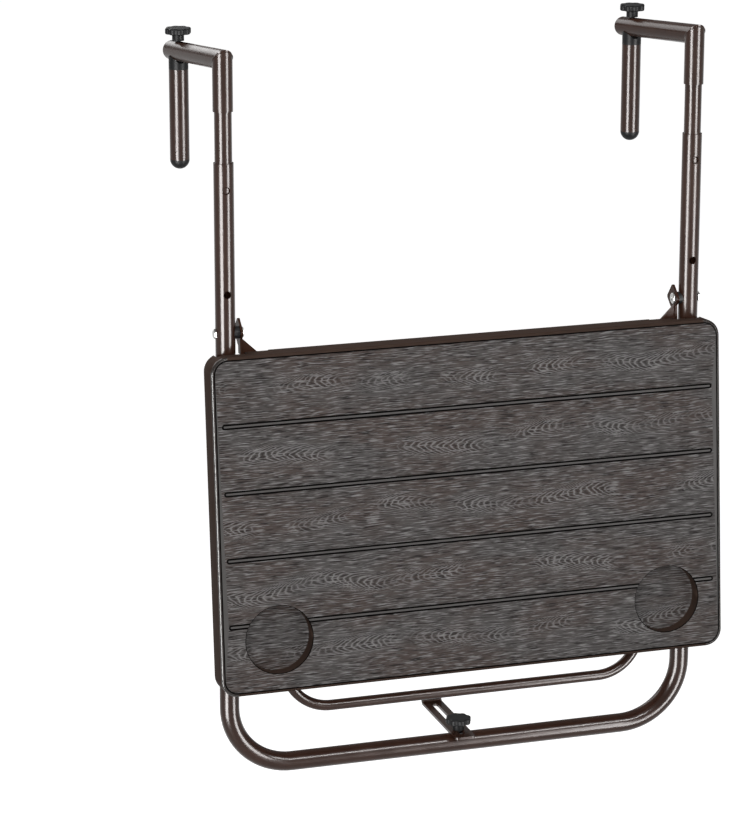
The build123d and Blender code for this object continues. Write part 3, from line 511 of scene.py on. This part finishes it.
def paint_finish(fittings, name):
    """Brown powder coat with a little orange peel."""
    finish = Finish(name)
    place = finish.place()
    cloud = finish.noise(place, scale=28.0, detail=3.0)
    peel = finish.noise(place, scale=1 / fittings.peel_size, detail=1.0)
    colour = finish.mix(finish.spread(cloud, 0.35, 0.65), tuple(fittings.paint_deep), tuple(fittings.paint))
    finish.set(Base_Color=colour)
    finish.shine(cloud, CLOUD_WINDOW)
    finish.bump(peel, 0.01 * MM, 0.3)
    return finish.material


def plastic_finish(fittings, name):
    """Black moulded plastic or blackened steel with a fine skin."""
    finish = Finish(name)
    place = finish.place()
    skin = finish.noise(place, scale=1500.0)
    cloud = finish.noise(place, scale=90.0)
    finish.set(Base_Color=finish.mix(cloud, darker(fittings.plastic, 0.7), tuple(fittings.plastic)))
    finish.shine(cloud, CLOUD_WINDOW)
    finish.bump(skin, 0.06 * MM, 0.5)
    return finish.material


def zinc_finish(fittings):
    """Zinc plate, faintly mottled."""
    finish = Finish("zinc_plate")
    cloud = finish.noise(finish.place(), scale=300.0, detail=3.0)
    finish.set(Base_Color=finish.mix(cloud, darker(fittings.zinc, 0.8), tuple(fittings.zinc)), Metallic=1.0)
    finish.set(Roughness=finish.spread(cloud, *CLOUD_WINDOW, *ZINC_ROUGHNESS))
    finish.bump(cloud, 0.03 * MM, 0.3)
    return finish.material


# The order in which the table top carries its finishes
TOP_FINISHES = (
    plank_finish, bead_finish, shaded_crease_finish,
    left_rim_finish, right_rim_finish, lifted_side_finish, underside_finish,
)


def clothe(nodes, material):
    """Give CAD nodes one finish."""
    for name in nodes:
        mesh = NODES[name].data
        mesh.materials.clear()
        mesh.materials.append(material)


def start_piece(name):
    """Name the primitive that was just added."""
    piece = bpy.context.object
    piece.name = name
    piece.data.name = name
    return piece


def apply_place(piece):
    """Put a piece's place into its mesh, so that its object sits at the origin."""
    bpy.ops.object.select_all(action="DESELECT")
    piece.select_set(True)
    bpy.context.view_layer.objects.active = piece
    bpy.ops.object.transform_apply(location=True, rotation=True, scale=True)


def mesh_copy(node, name):
    """A new piece from a CAD node's merged mesh, alone in the selection."""
    bpy.ops.object.select_all(action="DESELECT")
    piece = bpy.data.objects.new(name, NODES[node].data.copy())
    piece.data.name = name
    bpy.context.scene.collection.objects.link(piece)
    piece.select_set(True)
    bpy.context.view_layer.objects.active = piece
    bpy.ops.object.mode_set(mode="EDIT")
    bpy.ops.mesh.select_all(action="SELECT")
    bpy.ops.mesh.remove_doubles(threshold=MERGE_DISTANCE)
    bpy.ops.object.mode_set(mode="OBJECT")
    return piece


class BALCONY_OT_table_top(bpy.types.Operator):
    """Model the table top with its grain, beads, grooves, edge and underside"""

    bl_idname = "balcony.table_top"
    bl_label = "Table Top"

    def execute(self, context):
        """Sort the faces of the panel into their finishes."""
        top = context.scene.balcony_top
        piece = mesh_copy("table_panel", "table_top")
        bpy.ops.object.shade_smooth_by_angle(angle=SMOOTH_ANGLE)
        piece.data.materials.clear()
        for make in TOP_FINISHES:
            piece.data.materials.append(make(top))
        for face in piece.data.polygons:
            face.material_index = self.finish_of(face)
            face.use_smooth = abs(face.normal.dot(PANEL_OUT)) < LEVEL_FACING
        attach(piece, BODY_OF["table_panel"])
        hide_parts("table_panel")
        return {"FINISHED"}

    @staticmethod
    def inset_of(x, y):
        """How far a place lies inside the table top's rounded outline."""
        past_x = abs(x) - PANEL_HALF_WIDTH + CORNER_RADIUS
        past_y = abs(y - PANEL_TOP_EDGE + PANEL_LENGTH / 2) - PANEL_LENGTH / 2 + CORNER_RADIUS
        outside = hypot(max(past_x, 0), max(past_y, 0)) + min(max(past_x, past_y), 0)
        return CORNER_RADIUS - outside

    def finish_of(self, face):
        """Which finish a face of the panel gets, from its place and normal."""
        field, bead, shaded_crease, left_rim, right_rim, side, underside = range(len(TOP_FINISHES))
        place = face.center - HINGE
        x, y, z = place.x, place.dot(PANEL_UP), place.dot(PANEL_OUT)
        facing = face.normal.dot(PANEL_OUT)
        inset = self.inset_of(x, y)
        below = FACE_HEIGHT - z
        near = min(abs(y - FIRST_BEAD + index * PLANK_PITCH) for index in range(BEAD_COUNT))
        if facing < BACK_FACING or below > CUP_DEPTH + SLACK:
            return side if inset < SLACK else underside
        if hypot(abs(x) - CUP_X, y - CUP_Y) < CUP_RADIUS + LIP_DEPTH and below > HAIR:
            if below < LIP_DEPTH and facing < LIP_FACING:
                # Cup lips get the near-black colour, painted shade as a dark outline
                return shaded_crease
            # Cup walls get the side colour, lifted by painted fill light
            return field if facing > WALL_FACING else side
        if inset < SLACK and below > 2 * RIM_WIDTH:
            return side
        if inset < RIM_WIDTH - HAIR:
            if abs(x) < PANEL_HALF_WIDTH - CORNER_RADIUS:
                return side
            return left_rim if x < 0 else right_rim
        # The line inside the edge gets the near-black colour, painted shade
        if inset < RIM_WIDTH + RIM_LINE + HAIR:
            return shaded_crease
        if below > LINE_DEPTH + SLACK:
            return underside
        # Groove walls and floors get the near-black colour, painted shade
        if below > HAIR:
            return shaded_crease
        return bead if near < BEAD_HALF_WIDTH else field


class BALCONY_OT_painted_tubes(bpy.types.Operator):
    """Coat the tubes, brackets, buttons and rear plate"""

    bl_idname = "balcony.painted_tubes"
    bl_label = "Painted Tubes"

    def execute(self, context):
        """Give the tubes a glossy powder coat, and the hook arms and brackets a satin one."""
        fittings = context.scene.balcony_fittings
        clothe(PAINTED, paint_finish(fittings, "gloss_coat"))
        clothe(SATIN, paint_finish(fittings, "satin_coat"))
        return {"FINISHED"}


class BALCONY_OT_moulded_fittings(bpy.types.Operator):
    """Finish the black knobs, plugs, cradles, bushes and catches"""

    bl_idname = "balcony.moulded_fittings"
    bl_label = "Moulded Fittings"

    def execute(self, context):
        """Give every moulded node the black plastic."""
        clothe(MOULDED, plastic_finish(context.scene.balcony_fittings, "black_moulding"))
        return {"FINISHED"}


class BALCONY_OT_plated_fasteners(bpy.types.Operator):
    """Finish the bolts, nuts, screws, springs and studs"""

    bl_idname = "balcony.plated_fasteners"
    bl_label = "Plated Fasteners"

    def execute(self, context):
        """Give the bolts, nuts, screws and springs the zinc plate, and blacken the studs and the insert."""
        fittings = context.scene.balcony_fittings
        clothe(PLATED, zinc_finish(fittings))
        clothe(BLACKENED, plastic_finish(fittings, "black_oxide"))
        return {"FINISHED"}


class BALCONY_OT_elbow_welds(bpy.types.Operator):
    """Model the weld bead round each mitred hook elbow"""

    bl_idname = "balcony.elbow_welds"
    bl_label = "Elbow Welds"

    def execute(self, context):
        """Lay a ring in each mitre plane and stretch it to the cut's ellipse."""
        fittings = context.scene.balcony_fittings
        coat = paint_finish(fittings, "weld_coat")
        half_turn = (pi / 2 + ARM_SLOPE) / 2
        for side, sign in SIDES.items():
            bpy.ops.object.select_all(action="DESELECT")
            bpy.ops.mesh.primitive_torus_add(
                major_radius=TUBE_RADIUS, minor_radius=fittings.weld_radius,
                major_segments=WELD_SEGMENTS, minor_segments=WELD_SIDES,
            )
            bead = start_piece(f"{side}_elbow_weld")
            stretch = Matrix.Diagonal((1, 1 / sin(half_turn), 1, 1))
            turn = Matrix.Rotation(half_turn - pi / 2, 4, "X")
            bead.data.transform(Matrix.Translation((sign * POST_X, POST_Y, ELBOW_Z)) @ turn @ stretch)
            bpy.ops.object.shade_smooth()
            bead.data.materials.append(coat)
            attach(bead, f"{side}_hook")
        return {"FINISHED"}


class BALCONY_OT_stage(bpy.types.Operator):
    """Set the floor, the lights and the camera"""

    bl_idname = "balcony.stage"
    bl_label = "Stage"

    def execute(self, context):
        """Lay the floor, hang the lights and stand the camera."""
        stage = context.scene.balcony_stage
        self.lay_floor(stage)
        self.light_room(context.scene, stage)
        self.stand_camera(context.scene, stage)
        context.scene.view_settings.view_transform = "Standard"
        return {"FINISHED"}

    @staticmethod
    def lay_floor(stage):
        """A wide pale floor below the table."""
        bpy.ops.object.select_all(action="DESELECT")
        bpy.ops.mesh.primitive_plane_add(size=FLOOR_SIZE, location=(0, 0, CAD_BOX[0][2] - stage.floor_drop))
        floor = start_piece("floor")
        apply_place(floor)
        finish = Finish("pale_floor")
        cloud = finish.noise(finish.place(), scale=0.4)
        shade = darker(stage.floor_colour, 0.985)
        finish.set(Base_Color=finish.mix(cloud, shade, tuple(stage.floor_colour)))
        finish.set(Roughness=0.9, Specular_IOR_Level=0.0)
        path = finish.add("ShaderNodeLightPath").outputs
        seen = finish.math("MAXIMUM", path["Is Camera Ray"], path["Is Glossy Ray"])
        seen = finish.math("MAXIMUM", seen, path["Is Transmission Ray"])
        glow = finish.math("MULTIPLY", seen, stage.floor_glow)
        finish.set(Emission_Color=(1, 1, 1), Emission_Strength=glow)
        floor.data.materials.append(finish.material)

    def light_room(self, scene, stage):
        """Even room light, strips that show as highlights, and soft lamps in front, overhead and behind."""
        world = bpy.data.worlds.new("studio")
        world.use_nodes = True
        background = world.node_tree.nodes["Background"]
        background.inputs["Color"].default_value = (1, 1, 1, 1)
        background.inputs["Strength"].default_value = stage.world_level
        scene.world = world
        for name, spot, size, share in STRIPS:
            power = share * stage.strip_glare * pi * size[0] * size[1]
            self.hang_lamp(name, spot, size, power).visible_diffuse = False
        self.hang_lamp(*FRONT_LAMP, stage.front_level).visible_glossy = False
        self.hang_lamp(*TOP_LAMP, stage.top_level)
        self.hang_lamp(*BACK_LAMP, stage.back_level)

    @staticmethod
    def hang_lamp(name, spot, size, power):
        """One oblong lamp that faces the table."""
        bpy.ops.object.light_add(type="AREA", location=spot)
        lamp = bpy.context.object
        lamp.name = name
        lamp.data.shape = "RECTANGLE"
        lamp.data.size, lamp.data.size_y = size
        lamp.data.energy = power
        lamp.visible_camera = False
        aim = LAMP_AIM - Vector(spot)
        lamp.rotation_euler = aim.to_track_quat("-Z", "Y").to_euler()
        return lamp

    @staticmethod
    def stand_camera(scene, stage):
        """The camera in front, turned to the right and looking down."""
        bpy.ops.object.camera_add(
            location=stage.camera_place, rotation=(pi / 2 - stage.camera_pitch, 0, -stage.camera_yaw)
        )
        camera = bpy.context.object
        camera.name = "camera"
        camera.data.sensor_fit = "VERTICAL"
        camera.data.sensor_height = SENSOR_HEIGHT
        camera.data.lens = stage.lens
        scene.camera = camera


OPERATORS = (
    BALCONY_OT_table_top,
    BALCONY_OT_painted_tubes,
    BALCONY_OT_moulded_fittings,
    BALCONY_OT_plated_fasteners,
    BALCONY_OT_elbow_welds,
    BALCONY_OT_stage,
)
SETTINGS = {
    "balcony_top": TopSettings,
    "balcony_fittings": FittingSettings,
    "balcony_stage": StageSettings,
}


class VIEW3D_PT_balcony_table(bpy.types.Panel):
    """Sidebar panel that lists the pieces and their settings"""

    bl_label = "Balcony Table"
    bl_idname = "VIEW3D_PT_balcony_table"
    bl_space_type = "VIEW_3D"
    bl_region_type = "UI"
    bl_category = "Balcony Table"

    def draw(self, context):
        """List the operators, then the settings."""
        for operator in OPERATORS:
            self.layout.operator(operator.bl_idname)
        for name, group in SETTINGS.items():
            box = self.layout.box()
            for key in group.__annotations__:
                box.prop(getattr(context.scene, name), key)


CLASSES = (*SETTINGS.values(), *OPERATORS, VIEW3D_PT_balcony_table)


def register():
    """Add the classes and the scene's settings."""
    for each in CLASSES:
        bpy.utils.register_class(each)
    for name, group in SETTINGS.items():
        setattr(bpy.types.Scene, name, bpy.props.PointerProperty(type=group))


def unregister():
    """Take the settings and the classes away again."""
    for name in SETTINGS:
        delattr(bpy.types.Scene, name)
    for each in reversed(CLASSES):
        bpy.utils.unregister_class(each)


def main():
    """Dress the table and set the stage."""
    register()
    for operator in OPERATORS:
        group, call = operator.bl_idname.split(".")
        getattr(getattr(bpy.ops, group), call)()


if __name__ == "__main__":
    main()
